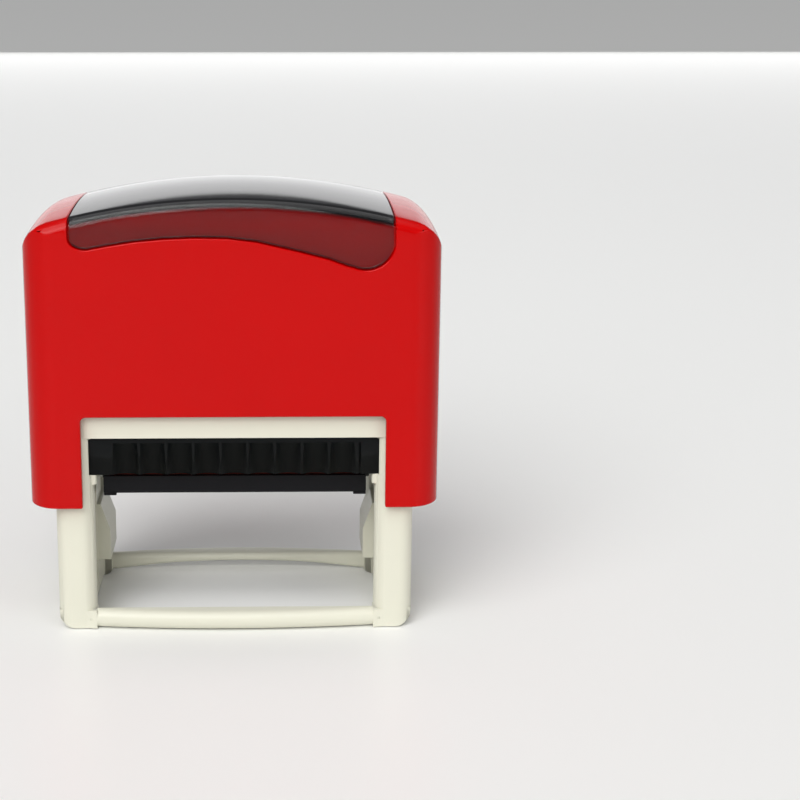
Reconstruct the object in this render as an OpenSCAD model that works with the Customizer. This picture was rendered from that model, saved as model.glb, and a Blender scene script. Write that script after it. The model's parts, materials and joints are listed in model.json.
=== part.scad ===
// Self-inking hand stamp: pressing the cap turns the die from the ink pad down to the paper.
// Millimetres. X right, Y back, Z up, origin under the middle of the base.

/* [Cap] */
// cap width
cap_width = 92; // [80:1:110]
// cap depth
cap_depth = 44; // [38:1:56]
// height of the cap's crown above the table
cap_height = 100; // [90:1:120]
// height of the cap's lower rim, released
cap_rim = 29.5; // [28:0.5:40]
// cap wall
cap_wall = 1.8; // [1.5:0.1:3]
// radius of the arched top
crown_radius = 154; // [100:1:300]
// radius of the shoulders
shoulder_radius = 8; // [4:0.5:12]
// rounding along the front and back top edges
edge_radius = 2.6; // [2:0.5:8]
// rounding of the vertical corners
corner_radius = 7; // [3:0.5:10]
// half width of the cut-outs over the ink drawer
cutout_half = 33.8; // [28:0.1:38]
// height of the cut-outs' upper edge
cutout_top = 50.6; // [46:0.1:56]

/* [Index window] */
// half width of the window
window_half = 35; // [25:0.5:38]
// window thickness
window_wall = 1.2; // [0.8:0.1:1.6]
// gap around the window
window_gap = 0.35; // [0.3:0.05:0.6]

/* [Frame] */
// half width of the frame over its legs
frame_half = 40.4; // [36:0.1:41]
// height of the base ring
base_height = 4.2; // [3:0.1:8]
// height of the frame's upper rim
frame_top = 50.6; // [46:0.1:56]
// inner plane of the legs
leg_inner = 33.5; // [32:0.1:36]
// inner side of the rounded leg columns
column_inner = 31.7; // [31:0.1:34]
// depth of a leg column
column_depth = 6.6; // [4:0.1:9]
// rounding of the frame's lower corners
foot_radius = 4; // [1:0.5:6]

/* [Ink drawer] */
// half width of the drawer
drawer_half = 32.6; // [30:0.1:33]
// underside of the drawer
drawer_low = 36.2; // [36:0.1:38]
// top of the drawer
drawer_high = 44.5; // [42:0.1:45]
// spacing of the grip flutes
flute_pitch = 6.1; // [4:0.1:8]

/* [Die] */
// length of the ink pad and print
pad_length = 58; // [40:1:60]
// width of the ink pad and print
pad_width = 22; // [14:1:24]
// axle height, released
axle_height = 32; // [31:0.5:33]
// axle radius
axle_radius = 2; // [1.5:0.1:2.2]
// distance of the guide pin from the axle
guide_reach = 7; // [5:0.5:9]
// guide pin radius
guide_radius = 1.2; // [1:0.1:1.6]
// press travel
travel = 28; // [26:0.5:28]
// height of the print face above the axle
face_height = 3.55; // [3:0.05:4]

/* [Spring] */
// mean radius of the main spring
spring_radius = 6; // [5:0.1:6.5]
// wire diameter of the main spring
spring_wire = 1.2; // [0.8:0.1:1.4]
// turns of the main spring
spring_turns = 6; // [4:1:7]

/* [Hidden] */
$fn = 96;
cap_hx = cap_width / 2;
cap_hy = cap_depth / 2;
crown_z = cap_height - crown_radius;
shoulder_x = cap_hx - shoulder_radius;
shoulder_z = crown_z + sqrt(pow(crown_radius - shoulder_radius, 2) - pow(shoulder_x, 2));
arm_in = frame_half + 0.5;
arm_out = cap_hx - cap_wall - 0.8;
bar_low = 86.5;
bar_high = 89.5;
cup_low = 47.6;
cup_floor = 48.8;
button_z = 62;
column_front = 19.6;
floor_z = 33;
pin_start = 29.3;
pad_z = drawer_low + 0.3;

// rectangle with exact round corners, centred
module soft_rect(w, h, r) {
    square([w - 2 * r, h], center = true);
    square([w, h - 2 * r], center = true);
    for (sx = [-1, 1])
        for (sy = [-1, 1])
            translate([sx * (w / 2 - r), sy * (h / 2 - r)])
                circle(r = r);
}

// slot with round ends, long in x
module stadium(w, h) {
    square([w - h, h], center = true);
    for (s = [-1, 1])
        translate([s * (w - h) / 2, 0])
            circle(r = h / 2);
}

// a flat x-z shape pulled through from y = a to y = b
module through_y(a, b) {
    translate([0, b, 0])
        rotate([90, 0, 0])
            linear_extrude(b - a)
                children();
}

// cap front view, inset by i
module cap_front(i) {
    rx = (crown_radius - shoulder_radius) / 30;
    difference() {
        intersection() {
            translate([0, crown_z])
                circle(r = crown_radius - i);
            translate([i - cap_hx, 20])
                square([cap_width - 2 * i, cap_height]);
        }
        for (s = [0, 1])
            mirror([s, 0])
                translate([shoulder_x, shoulder_z])
                    difference() {
                        polygon([[0, 0], [shoulder_x / rx, (shoulder_z - crown_z) / rx],
                            [40, 28], [40, 0]]);
                        circle(r = shoulder_radius - i);
                    }
    }
}

// section of the crown, turned about the arch axis
module crown_section(i) {
    r = max(edge_radius - i, 0.6);
    top = crown_radius - i;
    half = cap_hy - i;
    translate([100, -half])
        square([top - r - 100, 2 * half]);
    translate([100, r - half])
        square([top - 100, 2 * (half - r)]);
    for (s = [-1, 1])
        translate([top - r, s * (half - r)])
            circle(r = r);
}

// the cap as a solid block, inset by i
module cap_block(i, low) {
    intersection() {
        through_y(-30, 30)
            cap_front(i);
        union() {
            translate([0, 0, crown_z])
                rotate([90, 0, 0])
                    rotate_extrude()
                        crown_section(i);
            translate([-60, i - cap_hy, 20])
                cube([120, cap_depth - 2 * i, 50]);
        }
        translate([0, 0, low])
            linear_extrude(100)
                soft_rect(cap_width - 2 * i, cap_depth - 2 * i, corner_radius - i);
    }
}

// front view of the window, grown by g
module window_front(g) {
    translate([-window_half - g, 91.9])
        square([2 * (window_half + g), 20]);
    translate([3.5 - window_half, 91.9])
        circle(r = 3.5 + g);
    translate([window_half - 6, 89.8])
        circle(r = 6 + g);
    translate([window_half - 6, 89.8])
        square([6 + g, 5]);
    polygon([[3.5 - window_half, 88.4 - g], [-27, 89.2 - g], [-21.5, 90.1 - g],
        [-15, 90.7 - g], [-8, 90.95 - g], [-1, 90.8 - g], [5.4, 90 - g], [14.8, 87.8 - g],
        [21, 86.2 - g], [25, 84.7 - g], [window_half - 6, 83.8 - g],
        [window_half - 6, 94], [3.5 - window_half, 94]]);
}

// both faces of the window outline, point symmetric about the middle
module window_outline(g) {
    for (a = [0, 180])
        rotate([0, 0, a])
            through_y(-30, 0)
                window_front(g);
}

module cap() {
    color([0.80, 0.02, 0.02])
        difference() {
            cap_block(0, cap_rim);
            difference() {
                cap_block(cap_wall, cap_rim - 1);
                translate([-37.5, -30, 81])
                    cube([75, 60, 30]);
            }
            cap_block(3.4, cap_rim - 1);
            difference() {
                intersection() {
                    cap_block(-0.1, cap_rim);
                    window_outline(window_gap);
                }
                cap_block(window_wall + window_gap, cap_rim - 2);
            }
            intersection() {
                difference() {
                    cap_block(-0.1, cap_rim);
                    cap_block(window_wall + window_gap + 0.3, cap_rim - 2);
                }
                translate([-31.3, -16.3, 90])
                    cube([62.6, 32.6, 20]);
            }
            through_y(-30, 30)
                translate([0, cutout_top - 30])
                    soft_rect(2 * cutout_half, 60, 1.2);
            rotate([90, 0, 90])
                translate([0, button_z, -60])
                    linear_extrude(120)
                        stadium(12, 7);
        }
    color([0.80, 0.02, 0.02])
        for (s = [-1, 1])
            intersection() {
                translate([s * 30, 0, bar_high])
                    cylinder(r = 4, h = 8);
                cap_block(2.5, cap_rim);
            }
}

module index_window() {
    color([0.08, 0.08, 0.09, 0.6])
        intersection() {
            difference() {
                cap_block(0, cap_rim);
                cap_block(window_wall, cap_rim - 2);
            }
            window_outline(0);
        }
}

module index_card() {
    low = window_wall + window_gap;
    color([0.05, 0.05, 0.06])
        intersection() {
            difference() {
                cap_block(low, cap_rim);
                cap_block(low + 0.3, cap_rim - 2);
            }
            translate([-31, -16, 90])
                cube([62, 32, 20]);
        }
}

module lock_button_left() {
    color([0.85, 0.03, 0.03])
        mirror([1, 0, 0])
            lock_button_shape();
}

module lock_button_right() {
    color([0.85, 0.03, 0.03])
        lock_button_shape();
}

module lock_button_shape() {
    rotate([90, 0, 90])
        translate([0, button_z, arm_out - 0.4])
            linear_extrude(cap_hx - 0.2 - arm_out + 0.4)
                stadium(11.2, 6.2);
    rotate([90, 0, 90])
        translate([0, button_z, arm_out - 0.4])
            linear_extrude(0.8)
                stadium(14, 9);
}

module lock_spring_left() {
    color([0.72, 0.73, 0.75])
        translate([-arm_in - 0.2, -2.5, button_z - 7])
            cube([0.2, 5, 14]);
}

module lock_spring_right() {
    color([0.72, 0.73, 0.75])
        translate([arm_in, -2.5, button_z - 7])
            cube([0.2, 5, 14]);
}

module yoke() {
    arm_low = axle_height - 2.3;
    color([0.80, 0.03, 0.03])
        difference() {
            union() {
                translate([-arm_out, -8, bar_low])
                    cube([2 * arm_out, 16, bar_high - bar_low]);
                for (s = [0, 1])
                    mirror([s, 0, 0])
                        translate([arm_in, 0, 0])
                            rotate([90, 0, 90])
                                linear_extrude(arm_out - arm_in)
                                    translate([0, (arm_low + bar_high) / 2])
                                        soft_rect(22, bar_high - arm_low, 2);
                translate([0, 0, bar_low - 4.5])
                    cylinder(r = 4.6, h = 5);
            }
            for (s = [0, 1])
                mirror([s, 0, 0])
                    translate([arm_in - 1, -8, button_z - 7])
                        cube([5, 16, 14]);
            translate([-60, 0, axle_height])
                rotate([0, 90, 0])
                    cylinder(r = axle_radius + 0.05, h = 120);
            translate([0, 0, bar_low - 5])
                cylinder(r = 1.5, h = 10);
        }
}

// level section of a round wire climbing in a helix
module coil_section(span) {
    r = spring_wire / 2;
    polygon([for (k = [0 : 13])
        (spring_radius + r * sin(360 * k / 14))
            * [cos(span * cos(360 * k / 14)), sin(span * cos(360 * k / 14))]]);
}

module main_spring() {
    rise = bar_low - cup_floor;
    span = 180 * spring_wire * spring_turns / rise;
    color([0.75, 0.76, 0.78])
        translate([0, 0, cup_floor])
            linear_extrude(height = rise, twist = -360 * spring_turns, slices = 120, $fn = 8)
                coil_section(span);
}

module spring_cup() {
    color([0.90, 0.89, 0.80])
        difference() {
            translate([0, 0, cup_low])
                cylinder(r = 9, h = 57.5 - cup_low);
            translate([0, 0, cup_floor])
                cylinder(r = 7.6, h = 20);
            translate([0, 0, cup_low - 1])
                cylinder(r = 3, h = 4);
        }
}

// y-z path of the guide pin at turn t (degrees)
function guide_y(t) = guide_reach * cos(t);
function guide_z(t) = axle_height - travel * t / 180 + guide_reach * sin(t);

// point of the groove's edge at turn t, on side d
function groove_edge(t, d) =
    let(dy = -guide_reach * sin(t), dz = guide_reach * cos(t) - travel / PI)
        [guide_y(t) - d * dz / norm([dy, dz]), guide_z(t) + d * dy / norm([dy, dz])];

module guide_groove() {
    steps = 16;
    r = guide_radius + 0.5;
    for (t = [0, 180])
        translate([guide_y(t), guide_z(t)])
            circle(r = r);
    polygon(concat(
        [for (k = [0 : steps]) groove_edge(180 * k / steps, r)],
        [for (k = [steps : -1 : 0]) groove_edge(180 * k / steps, -r)]));
}

module frame() {
    color([0.90, 0.89, 0.82])
        difference() {
            intersection() {
                frame_body();
                through_y(-30, 30)
                    translate([0, 60])
                        soft_rect(2 * frame_half, 120, foot_radius);
            }
            translate([-drawer_half, -25, drawer_low])
                cube([2 * drawer_half, 50, drawer_high + 0.1 - drawer_low]);
            for (s = [0, 1])
                mirror([s, 0, 0])
                    frame_slots();
        }
}

// ring, legs, deck and the bezels across the cap's cut-outs
module frame_body() {
    frame_ring();
    for (s = [0, 1])
        mirror([s, 0, 0])
            frame_leg();
    translate([-frame_half, -18.6, 45.6])
        cube([2 * frame_half, 37.2, 2]);
    for (s = [0, 1])
        mirror([0, s, 0])
            translate([-36, -column_front, 45.2])
                cube([72, 1.8, frame_top - 45.2]);
}

// base ring: bowed bars, arched under the back
module frame_ring() {
    difference() {
        linear_extrude(base_height)
            intersection() {
                soft_rect(2 * frame_half, 43.4, 5);
                translate([0, 268 - 21.7])
                    circle(r = 268);
                translate([0, 21.7 - 268])
                    circle(r = 268);
            }
        translate([0, 0.5, -1])
            linear_extrude(base_height + 2)
                soft_rect(2 * leg_inner, 34, 5);
        through_y(16, 30)
            translate([0, 2.2 - 210])
                circle(r = 210);
    }
}

// right leg: two round columns, a web between them, drawer ledge and cam block
module frame_leg() {
    for (s = [-1, 1])
        translate([(column_inner + frame_half) / 2, s * (column_front - column_depth / 2), 0])
            linear_extrude(frame_top)
                soft_rect(frame_half - column_inner, column_depth, 3.2);
    translate([leg_inner, -15, 0])
        cube([frame_half - leg_inner, 30, frame_top]);
    translate([drawer_half, -18, drawer_low - 0.1])
        cube([4, 36, 9.5]);
    translate([31.9, -18, 33.9])
        cube([4, 36, drawer_low - 33.9]);
    for (y = [-17.1, 17.1])
        translate([31.9, y, 33.9])
            cylinder(r = 0.9, h = drawer_low - 33.9);
    translate([31, -17.1, 33.9])
        cube([2, 34.2, drawer_low - 33.9]);
    through_y(3, 17)
        polygon([[30.4, 8.1], [30.4, 15.6], [32.6, 22], [35, 22], [35, 8.1]]);
    translate([column_inner, 15, 8.1])
        cube([4, 3.8, 7.5]);
}

// vertical axle slot and curved guide groove in the right leg
module frame_slots() {
    translate([20, 0, 0])
        rotate([90, 0, 90])
            linear_extrude(30)
                translate([0, 18.05])
                    rotate(90)
                        stadium(32.8, 2 * axle_radius + 0.8);
    translate([30, 0, 0])
        rotate([90, 0, 90])
            linear_extrude(leg_inner + 2.3 - 30)
                guide_groove();
}

module ink_drawer() {
    color([0.03, 0.035, 0.04])
        difference() {
            translate([-drawer_half, -18, drawer_low])
                cube([2 * drawer_half, 36, drawer_high - drawer_low]);
            translate([-30.6, -13.7, drawer_low - 1])
                cube([61.2, 27.4, 1.3]);
            translate([-pad_length / 2 - 0.2, -pad_width / 2 - 0.2, drawer_low - 1])
                cube([pad_length + 0.4, pad_width + 0.4, 5.3]);
            for (k = [-4 : 4])
                translate([k * flute_pitch, -21.1, drawer_low - 1])
                    cylinder(r = 4.3, h = 8.4);
            translate([28, -18.5, drawer_low - 1])
                cube([0.5, 1, 8.4]);
            translate([-12, 16.5, drawer_low + 2])
                cube([24, 3, 4]);
        }
}

module ink_pad() {
    color([0.45, 0.02, 0.05])
        translate([-pad_length / 2, -pad_width / 2, pad_z])
            cube([pad_length, pad_width, 3.6]);
}

module die_holder() {
    low = axle_height - 2.1;
    color([0.03, 0.035, 0.04])
        difference() {
            union() {
                rotate([90, 0, 90])
                    translate([0, (low + floor_z) / 2, -30.05])
                        linear_extrude(60.1)
                            soft_rect(25, floor_z - low, 0.8);
                translate([-30.05, -12.5, floor_z - 1])
                    cube([60.1, 25, 2.2]);
                for (s = [-1, 1])
                    translate([s * 28.6 - 1.45, -12.2, low - 0.5])
                        cube([2.9, 24.4, 1]);
                for (s = [-1, 1])
                    translate([s * 30.6 - 0.8, 0, axle_height])
                        rotate([0, 90, 0])
                            cylinder(r = 2.2, h = 1.6);
            }
            translate([-29.25, -11.25, floor_z])
                cube([58.5, 22.5, 5]);
            for (s = [-1, 1])
                translate([s * (pin_start + 5), 0, axle_height])
                    rotate([0, 90, 0])
                        cylinder(r = axle_radius, h = 10, center = true);
            for (s = [-1, 1])
                translate([s * (pin_start + 5), guide_reach, axle_height])
                    rotate([0, 90, 0])
                        cylinder(r = guide_radius, h = 10, center = true);
            for (s = [-1, 1])
                translate([s * 14 - 10, -9, low - 1])
                    cube([20, 5, 1.8]);
        }
}

module foam_tape() {
    color([0.88, 0.88, 0.84])
        translate([-pad_length / 2, -pad_width / 2, floor_z])
            cube([pad_length, pad_width, 0.95]);
}

module text_plate() {
    base = floor_z + 0.95;
    top = axle_height + face_height;
    color([0.62, 0.20, 0.14])
        union() {
            translate([-pad_length / 2, -pad_width / 2, base])
                cube([pad_length, pad_width, 0.9]);
            difference() {
                translate([-27.5, -9.5, base + 0.8])
                    cube([55, 19, top - base - 0.8]);
                translate([-26.5, -8.5, base + 0.9])
                    cube([53, 17, 2]);
            }
            for (k = [0 : 2])
                translate([-22 + 3 * k, 3.2 - 4.2 * k, base + 0.8])
                    cube([44 - 6 * k, 1.8, top - base - 0.8]);
        }
}

module axle_pin_left() {
    color([0.74, 0.75, 0.77])
        mirror([1, 0, 0])
            axle_pin_shape();
}

module axle_pin_right() {
    color([0.74, 0.75, 0.77])
        axle_pin_shape();
}

module axle_pin_shape() {
    translate([pin_start, 0, axle_height])
        rotate([0, 90, 0])
            cylinder(r = axle_radius, h = arm_out - pin_start);
}

module guide_pin_left() {
    color([0.74, 0.75, 0.77])
        mirror([1, 0, 0])
            guide_pin_shape();
}

module guide_pin_right() {
    color([0.74, 0.75, 0.77])
        guide_pin_shape();
}

module guide_pin_shape() {
    translate([pin_start, guide_reach, axle_height])
        rotate([0, 90, 0])
            cylinder(r = guide_radius, h = leg_inner + 1.8 - pin_start);
}

cap();
index_window();
index_card();
lock_button_left();
lock_button_right();
lock_spring_left();
lock_spring_right();
yoke();
main_spring();
spring_cup();
frame();
ink_drawer();
ink_pad();
die_holder();
foam_tape();
text_plate();
axle_pin_left();
axle_pin_right();
guide_pin_left();
guide_pin_right();
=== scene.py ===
import json
import math

import bmesh
import bpy
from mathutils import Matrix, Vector


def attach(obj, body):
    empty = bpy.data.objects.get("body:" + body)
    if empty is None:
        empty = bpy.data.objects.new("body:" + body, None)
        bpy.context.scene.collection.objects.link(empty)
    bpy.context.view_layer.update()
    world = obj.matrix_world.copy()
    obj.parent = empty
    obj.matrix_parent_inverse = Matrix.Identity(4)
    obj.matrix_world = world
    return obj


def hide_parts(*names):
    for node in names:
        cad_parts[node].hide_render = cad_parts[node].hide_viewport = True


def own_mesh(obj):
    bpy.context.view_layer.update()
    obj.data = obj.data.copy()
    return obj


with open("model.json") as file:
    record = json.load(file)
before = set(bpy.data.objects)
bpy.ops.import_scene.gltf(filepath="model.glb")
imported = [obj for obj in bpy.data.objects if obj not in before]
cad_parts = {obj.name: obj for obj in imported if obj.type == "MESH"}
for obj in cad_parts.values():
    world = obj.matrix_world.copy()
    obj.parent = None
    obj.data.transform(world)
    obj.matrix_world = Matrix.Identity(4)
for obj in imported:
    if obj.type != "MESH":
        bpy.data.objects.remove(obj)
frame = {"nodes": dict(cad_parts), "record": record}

MM = 0.001
ARCH_TOP = 100.0  # top of the arch over the middle
ARCH_SPAN = 308.0  # the arch falls x * x / ARCH_SPAN
CROWN_FALL = 420.0  # and the crown y * y / CROWN_FALL
CROWN_CUT = 2.2  # spacing of the cuts that let the crown bend
BAR_CUT = 31.55  # where the base's bars leave its feet
BAR_HALF = 33.2  # half a bar's length, with its ends inside the feet
BAR_INNER = 16.5
BAR_OUTER = 21.7
BAR_BOW = 536.0  # a bar's outer side falls back x * x / BAR_BOW
BAR_TOP = 4.2
BAR_RISE = 2.2  # height of the arch under the back bar
BAR_RISE_SPAN = 420.0
EDGE_ANGLE = 28.0  # degrees: sharper edges than this are rounded
SHARP_ANGLE = 35.0  # degrees: sharper edges than this aren't shaded smooth
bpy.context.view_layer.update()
body_of_node = {
    n: b for b, ns in frame["record"]["behaviour"]["bodies"].items() for n in ns
}
slot_of_node = {s["node"]: s["material_slot"] for s in frame["record"]["subparts"]}


# ---------- materials ----------
def new_material(name):
    mat = bpy.data.materials.new(name)
    mat.use_nodes = True
    nt = mat.node_tree
    nt.nodes.clear()
    out = nt.nodes.new("ShaderNodeOutputMaterial")
    bsdf = nt.nodes.new("ShaderNodeBsdfPrincipled")
    nt.links.new(bsdf.outputs["BSDF"], out.inputs["Surface"])
    return mat, nt, bsdf


def noise(nt, scale, detail=4.0, stretch=(1, 1, 1)):
    co = nt.nodes.new("ShaderNodeTexCoord")
    mp = nt.nodes.new("ShaderNodeMapping")
    mp.inputs["Scale"].default_value = stretch
    tex = nt.nodes.new("ShaderNodeTexNoise")
    tex.inputs["Scale"].default_value = scale
    tex.inputs["Detail"].default_value = detail
    nt.links.new(co.outputs["Object"], mp.inputs["Vector"])
    nt.links.new(mp.outputs["Vector"], tex.inputs["Vector"])
    return tex


def remap(nt, source, low, high, frm=(0.3, 0.7)):
    node = nt.nodes.new("ShaderNodeMapRange")
    node.inputs["From Min"].default_value = frm[0]
    node.inputs["From Max"].default_value = frm[1]
    node.inputs["To Min"].default_value = low
    node.inputs["To Max"].default_value = high
    nt.links.new(source, node.inputs["Value"])
    return node.outputs["Result"]


def blend_colors(nt, factor, a, b):
    ramp = nt.nodes.new("ShaderNodeValToRGB")
    ramp.color_ramp.elements[0].color = (*a, 1)
    ramp.color_ramp.elements[1].color = (*b, 1)
    ramp.color_ramp.elements[0].position = 0.35
    ramp.color_ramp.elements[1].position = 0.68
    nt.links.new(factor, ramp.inputs["Fac"])
    return ramp.outputs["Color"]


def surface(
    name,
    color,
    rough,
    vary=0.03,
    tint=0.94,
    grain=1800.0,
    bump=0.04,
    metal=0.0,
    specular=0.5,
    dist=0.00002,
):
    """A moulded or drawn surface: slow colour drift, roughness that varies, fine grain."""
    mat, nt, bsdf = new_material(name)
    slow = noise(nt, 45.0, 3.0)
    fine = noise(nt, grain, 3.0)
    dark = tuple(c * tint for c in color)
    nt.links.new(
        blend_colors(nt, slow.outputs["Fac"], dark, color), bsdf.inputs["Base Color"]
    )
    mid = noise(nt, 220.0, 5.0)
    nt.links.new(
        remap(nt, mid.outputs["Fac"], rough - vary, rough + vary),
        bsdf.inputs["Roughness"],
    )
    bp = nt.nodes.new("ShaderNodeBump")
    bp.inputs["Strength"].default_value = bump
    bp.inputs["Distance"].default_value = dist
    nt.links.new(fine.outputs["Fac"], bp.inputs["Height"])
    nt.links.new(bp.outputs["Normal"], bsdf.inputs["Normal"])
    bsdf.inputs["Metallic"].default_value = metal
    bsdf.inputs["Specular IOR Level"].default_value = specular
    return mat


RED = (0.50, 0.0, 0.0)
MATS = {
    "cap_red": surface("cap_red", RED, 0.2, vary=0.02, tint=0.97, specular=0.16),
    "button_red": surface("button_red", RED, 0.28, vary=0.03, specular=0.25),
    "card_black": surface("card_black", (0.012, 0.012, 0.014), 0.55, grain=900),
    "steel": surface(
        "steel", (0.68, 0.69, 0.71), 0.28, vary=0.08, metal=1.0, grain=900, bump=0.1
    ),
    "yoke_red": surface("yoke_red", (0.5, 0.005, 0.005), 0.4),
    "frame_cream": surface(
        "frame_cream",
        (0.71, 0.70, 0.585),
        0.3,
        vary=0.008,
        tint=0.99,
        specular=0.25,
        bump=0.015,
    ),
    "drawer_black": surface(
        "drawer_black", (0.002, 0.003, 0.0035), 0.34, vary=0.05, specular=0.14
    ),
    "pad_felt": surface(
        "pad_felt",
        (0.16, 0.004, 0.01),
        0.85,
        vary=0.08,
        tint=0.6,
        grain=3000,
        bump=0.8,
        dist=0.0001,
    ),
    "holder_black": surface(
        "holder_black", (0.005, 0.005, 0.0065), 0.4, vary=0.05, specular=0.15
    ),
    "foam": surface("foam", (0.75, 0.75, 0.70), 0.9, grain=2500, bump=0.6, dist=0.0001),
    "die_rubber": surface("die_rubber", (0.36, 0.05, 0.03), 0.6, vary=0.08, tint=0.8),
}


def smoked_window():
    """Clear down the front and back, where the cap shows through; black on top."""
    mat, nt, bsdf = new_material("window_smoke")
    bsdf.inputs["Base Color"].default_value = (0.010, 0.010, 0.011, 1)
    bsdf.inputs["IOR"].default_value = 1.52
    streaks = noise(nt, 60.0, 6.0, (0.25, 1, 3.5))
    nt.links.new(
        remap(nt, streaks.outputs["Fac"], 0.03, 0.12), bsdf.inputs["Roughness"]
    )
    geo = nt.nodes.new("ShaderNodeNewGeometry")
    split = nt.nodes.new("ShaderNodeSeparateXYZ")
    nt.links.new(geo.outputs["Normal"], split.inputs["Vector"])
    up = nt.nodes.new("ShaderNodeMath")
    up.operation = "ABSOLUTE"
    nt.links.new(split.outputs["Z"], up.inputs[0])
    clear = remap(nt, up.outputs["Value"], 0.0, 0.72, (0.35, 0.8))
    haze = remap(nt, streaks.outputs["Fac"], 0.22, 0.29)
    total = nt.nodes.new("ShaderNodeMath")
    total.operation = "ADD"
    total.use_clamp = True
    nt.links.new(clear, total.inputs[0])
    nt.links.new(haze, total.inputs[1])
    nt.links.new(total.outputs["Value"], bsdf.inputs["Alpha"])
    bp = nt.nodes.new("ShaderNodeBump")
    bp.inputs["Strength"].default_value = 0.05
    bp.inputs["Distance"].default_value = 0.0001
    nt.links.new(streaks.outputs["Fac"], bp.inputs["Height"])
    nt.links.new(bp.outputs["Normal"], bsdf.inputs["Normal"])
    return mat


MATS["window_smoke"] = smoked_window()


# ---------- geometry helpers ----------
def paint(obj, slot):
    obj.data.materials.clear()
    obj.data.materials.append(MATS[slot])


def crown(bm):
    """Lets the top fall a little towards its front and back edges, as moulded caps do."""
    for k in range(-9, 10):
        bmesh.ops.bisect_plane(
            bm,
            geom=bm.verts[:] + bm.edges[:] + bm.faces[:],
            plane_co=(0, k * CROWN_CUT * MM, 0),
            plane_no=(0, 1, 0),
        )
    for v in bm.verts:
        x, y, z = v.co / MM
        rise = ARCH_TOP - x * x / ARCH_SPAN
        share = min(1.0, max(0.0, (z - rise + 9.0) / 5.0))
        share = share * share * (3 - 2 * share)
        v.co.z -= share * y * y / CROWN_FALL * MM


def refine(node, width, segments=3, shape=None):
    """Replaces a CAD node with a copy whose flat faces are joined up.

    Its convex edges are rounded by width, and shape(bm) may change it first.
    """
    bm = bmesh.new()
    bm.from_mesh(frame["nodes"][node].data)
    bmesh.ops.remove_doubles(bm, verts=bm.verts, dist=0.000002)
    bmesh.ops.dissolve_limit(
        bm, angle_limit=math.radians(0.4), verts=bm.verts, edges=bm.edges
    )
    if shape:
        shape(bm)
    if width > 0:
        edges = [
            e
            for e in bm.edges
            if len(e.link_faces) == 2
            and e.is_convex
            and math.degrees(e.calc_face_angle(0.0)) >= EDGE_ANGLE
        ]
        # Clamping would flatten every rounding to suit the mesh's smallest edge.
        bmesh.ops.bevel(
            bm,
            geom=edges,
            offset=width * MM,
            offset_type="OFFSET",
            segments=segments,
            profile=0.5,
            affect="EDGES",
            clamp_overlap=False,
        )
    mesh = bpy.data.meshes.new(node + "_skin")
    bm.to_mesh(mesh)
    bm.free()
    obj = bpy.data.objects.new(node + "_skin", mesh)
    bpy.context.scene.collection.objects.link(obj)
    for p in mesh.polygons:
        p.use_smooth = True
    mesh.set_sharp_from_angle(angle=math.radians(SHARP_ANGLE))
    wn = obj.modifiers.new("normals", "WEIGHTED_NORMAL")
    wn.keep_sharp = True
    paint(obj, slot_of_node[node])
    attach(obj, body_of_node[node])
    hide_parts(node)
    return obj


for name, node in frame["nodes"].items():
    paint(node, slot_of_node[name])

refine("cap", 0.35, shape=crown)
refine("index_window", 0.2, shape=crown)
refine("index_card", 0, shape=crown)


def mesh_object(name, verts, faces, slot, body):
    mesh = bpy.data.meshes.new(name)
    mesh.from_pydata([Vector(v) * MM for v in verts], [], faces)
    bm = bmesh.new()
    bm.from_mesh(mesh)
    bmesh.ops.recalc_face_normals(bm, faces=bm.faces)
    bm.to_mesh(mesh)
    bm.free()
    obj = bpy.data.objects.new(name, mesh)
    bpy.context.scene.collection.objects.link(obj)
    for f in mesh.polygons:
        f.use_smooth = len(f.vertices) == 4
    paint(obj, slot)
    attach(obj, body)
    return obj


def take_out_bars(bm):
    """Cuts the ring's front and back bars off at the feet and closes the cuts."""
    for side in (-1, 1):
        bmesh.ops.bisect_plane(
            bm,
            geom=bm.verts[:] + bm.edges[:] + bm.faces[:],
            plane_co=(side * BAR_CUT * MM, 0, 0),
            plane_no=(1, 0, 0),
        )
    reach = BAR_CUT + 0.01
    bars = [
        f
        for f in bm.faces
        if all(
            abs(v.co.x) / MM < reach and abs(v.co.y) / MM > 15 and v.co.z / MM < 4.9
            for v in f.verts
        )
    ]
    bmesh.ops.delete(bm, geom=bars, context="FACES")
    open_edges = [e for e in bm.edges if len(e.link_faces) == 1]
    bmesh.ops.holes_fill(bm, edges=open_edges, sides=0)
    bmesh.ops.recalc_face_normals(bm, faces=bm.faces)


def round_section(y0, y1, z0, z1, r0, r1, steps=6):
    """Corner-rounded outline in y and z; r0 rounds the y0 side and r1 the y1 side."""
    pts = []
    for cy, cz, r, a0 in (
        (y1 - r1, z1 - r1, r1, 0),
        (y0 + r0, z1 - r0, r0, 90),
        (y0 + r0, z0 + r0, r0, 180),
        (y1 - r1, z0 + r1, r1, 270),
    ):
        for k in range(steps + 1):
            a = math.radians(a0 + 90 * k / steps)
            pts.append((cy + r * math.cos(a), cz + r * math.sin(a)))
    return pts


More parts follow.
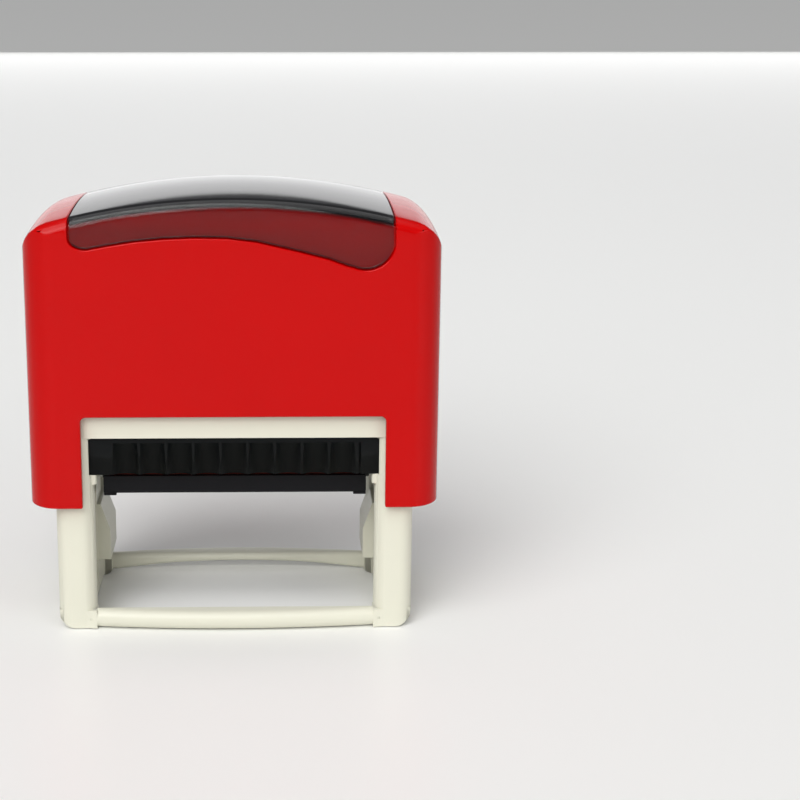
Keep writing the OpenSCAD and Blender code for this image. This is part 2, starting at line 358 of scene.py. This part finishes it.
def bar(name, side, arch):
    """One bowed bar of the base: side -1 is the front, 1 the back."""
    count = 60
    verts, faces = [], []
    for i in range(count + 1):
        x = -BAR_HALF + 2 * BAR_HALF * i / count
        outer = BAR_OUTER - x * x / BAR_BOW
        low = max(0.0, BAR_RISE - x * x / BAR_RISE_SPAN) if arch else 0.0
        r = min(1.9, (BAR_TOP - low) / 2 - 0.02)
        ring = round_section(BAR_INNER, outer, low, BAR_TOP, min(1.3, r), r)
        verts += [(x, side * y, z) for y, z in ring]
        size = len(ring)
    for i in range(count):
        for k in range(size):
            a, b = i * size + k, i * size + (k + 1) % size
            faces.append((a, b, b + size, a + size))
    faces.append(list(range(size)))
    faces.append(list(range(count * size, (count + 1) * size)))
    obj = mesh_object(name, verts, faces, "frame_cream", "base")
    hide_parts("frame")
    return obj


# Rounding this one breaks the large face of a leg, so its edges stay as they are.
refine("frame", 0, shape=take_out_bars)
bar("bar_front", -1, False)
bar("bar_back", 1, True)


refine("ink_drawer", 0)
refine("die_holder", 0.15, segments=2)

# The spring shortens towards its top end, which the cap carries down; here it only gets a
# mesh of its own.
spring = refine("main_spring", 0)
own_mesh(spring)

# ---------- floor, light, camera ----------
FLOOR_SIZE = 30.0
bpy.ops.mesh.primitive_plane_add(size=FLOOR_SIZE, location=(0, 0, -0.0002))
floor = bpy.context.object
floor.name = "floor"
floor_mat, nt, bsdf = new_material("floor_white")
bsdf.inputs["Base Color"].default_value = (0.88, 0.88, 0.86, 1)
bsdf.inputs["Roughness"].default_value = 0.35
floor.data.materials.append(floor_mat)

bpy.context.scene.view_settings.view_transform = "Standard"
world = bpy.data.worlds.new("studio")
bpy.context.scene.world = world
world.use_nodes = True
world.node_tree.nodes["Background"].inputs["Color"].default_value = (0.95, 0.96, 1.0, 1)
world.node_tree.nodes["Background"].inputs["Strength"].default_value = 0.15


def area(name, at, target, size, power, color=(1, 1, 1)):
    light = bpy.data.lights.new(name, "AREA")
    light.shape = "RECTANGLE"
    light.size, light.size_y = size
    light.energy = power
    light.color = color
    obj = bpy.data.objects.new(name, light)
    bpy.context.scene.collection.objects.link(obj)
    obj.location = at
    obj.rotation_mode = "QUATERNION"
    obj.rotation_quaternion = (Vector(target) - Vector(at)).to_track_quat("-Z", "Y")
    return obj


sun = bpy.data.lights.new("soft_sun", "SUN")
sun.energy = 2.0
sun.angle = math.radians(50)
sun_obj = bpy.data.objects.new("soft_sun", sun)
bpy.context.scene.collection.objects.link(sun_obj)
sun_obj.rotation_mode = "QUATERNION"
sun_obj.rotation_quaternion = Vector((0.35, 0.80, -0.95)).to_track_quat("-Z", "Y")
area("key", (-0.35, -0.95, 0.62), (0, 0, 0.05), (0.6, 0.5), 3.0)
area("fill", (0.75, -0.75, 0.45), (0, 0, 0.05), (0.6, 0.6), 2.4)
area("top", (0, -0.1, 0.95), (0, 0, 0), (0.8, 0.8), 2.0)
backdrop = area("backdrop", (0, 2.5, 0.42), (0, 0, 0.10), (4.6, 0.82), 13.0)
backdrop.visible_camera = False

cam_data = bpy.data.cameras.new("camera")
cam = bpy.data.objects.new("camera", cam_data)
bpy.context.scene.collection.objects.link(cam)
bpy.context.scene.camera = cam
cam_data.sensor_width = 36.0
cam_data.lens = 71.53
cam_data.shift_x = 0.13
cam_data.shift_y = -0.08
cam_data.clip_start = 0.01
cam.location = (0.0083, -0.3597, 0.1472)
tilt, pan = math.radians(13.03), math.radians(0.94)
cam.rotation_euler = (math.pi / 2 - tilt, 0, -pan)
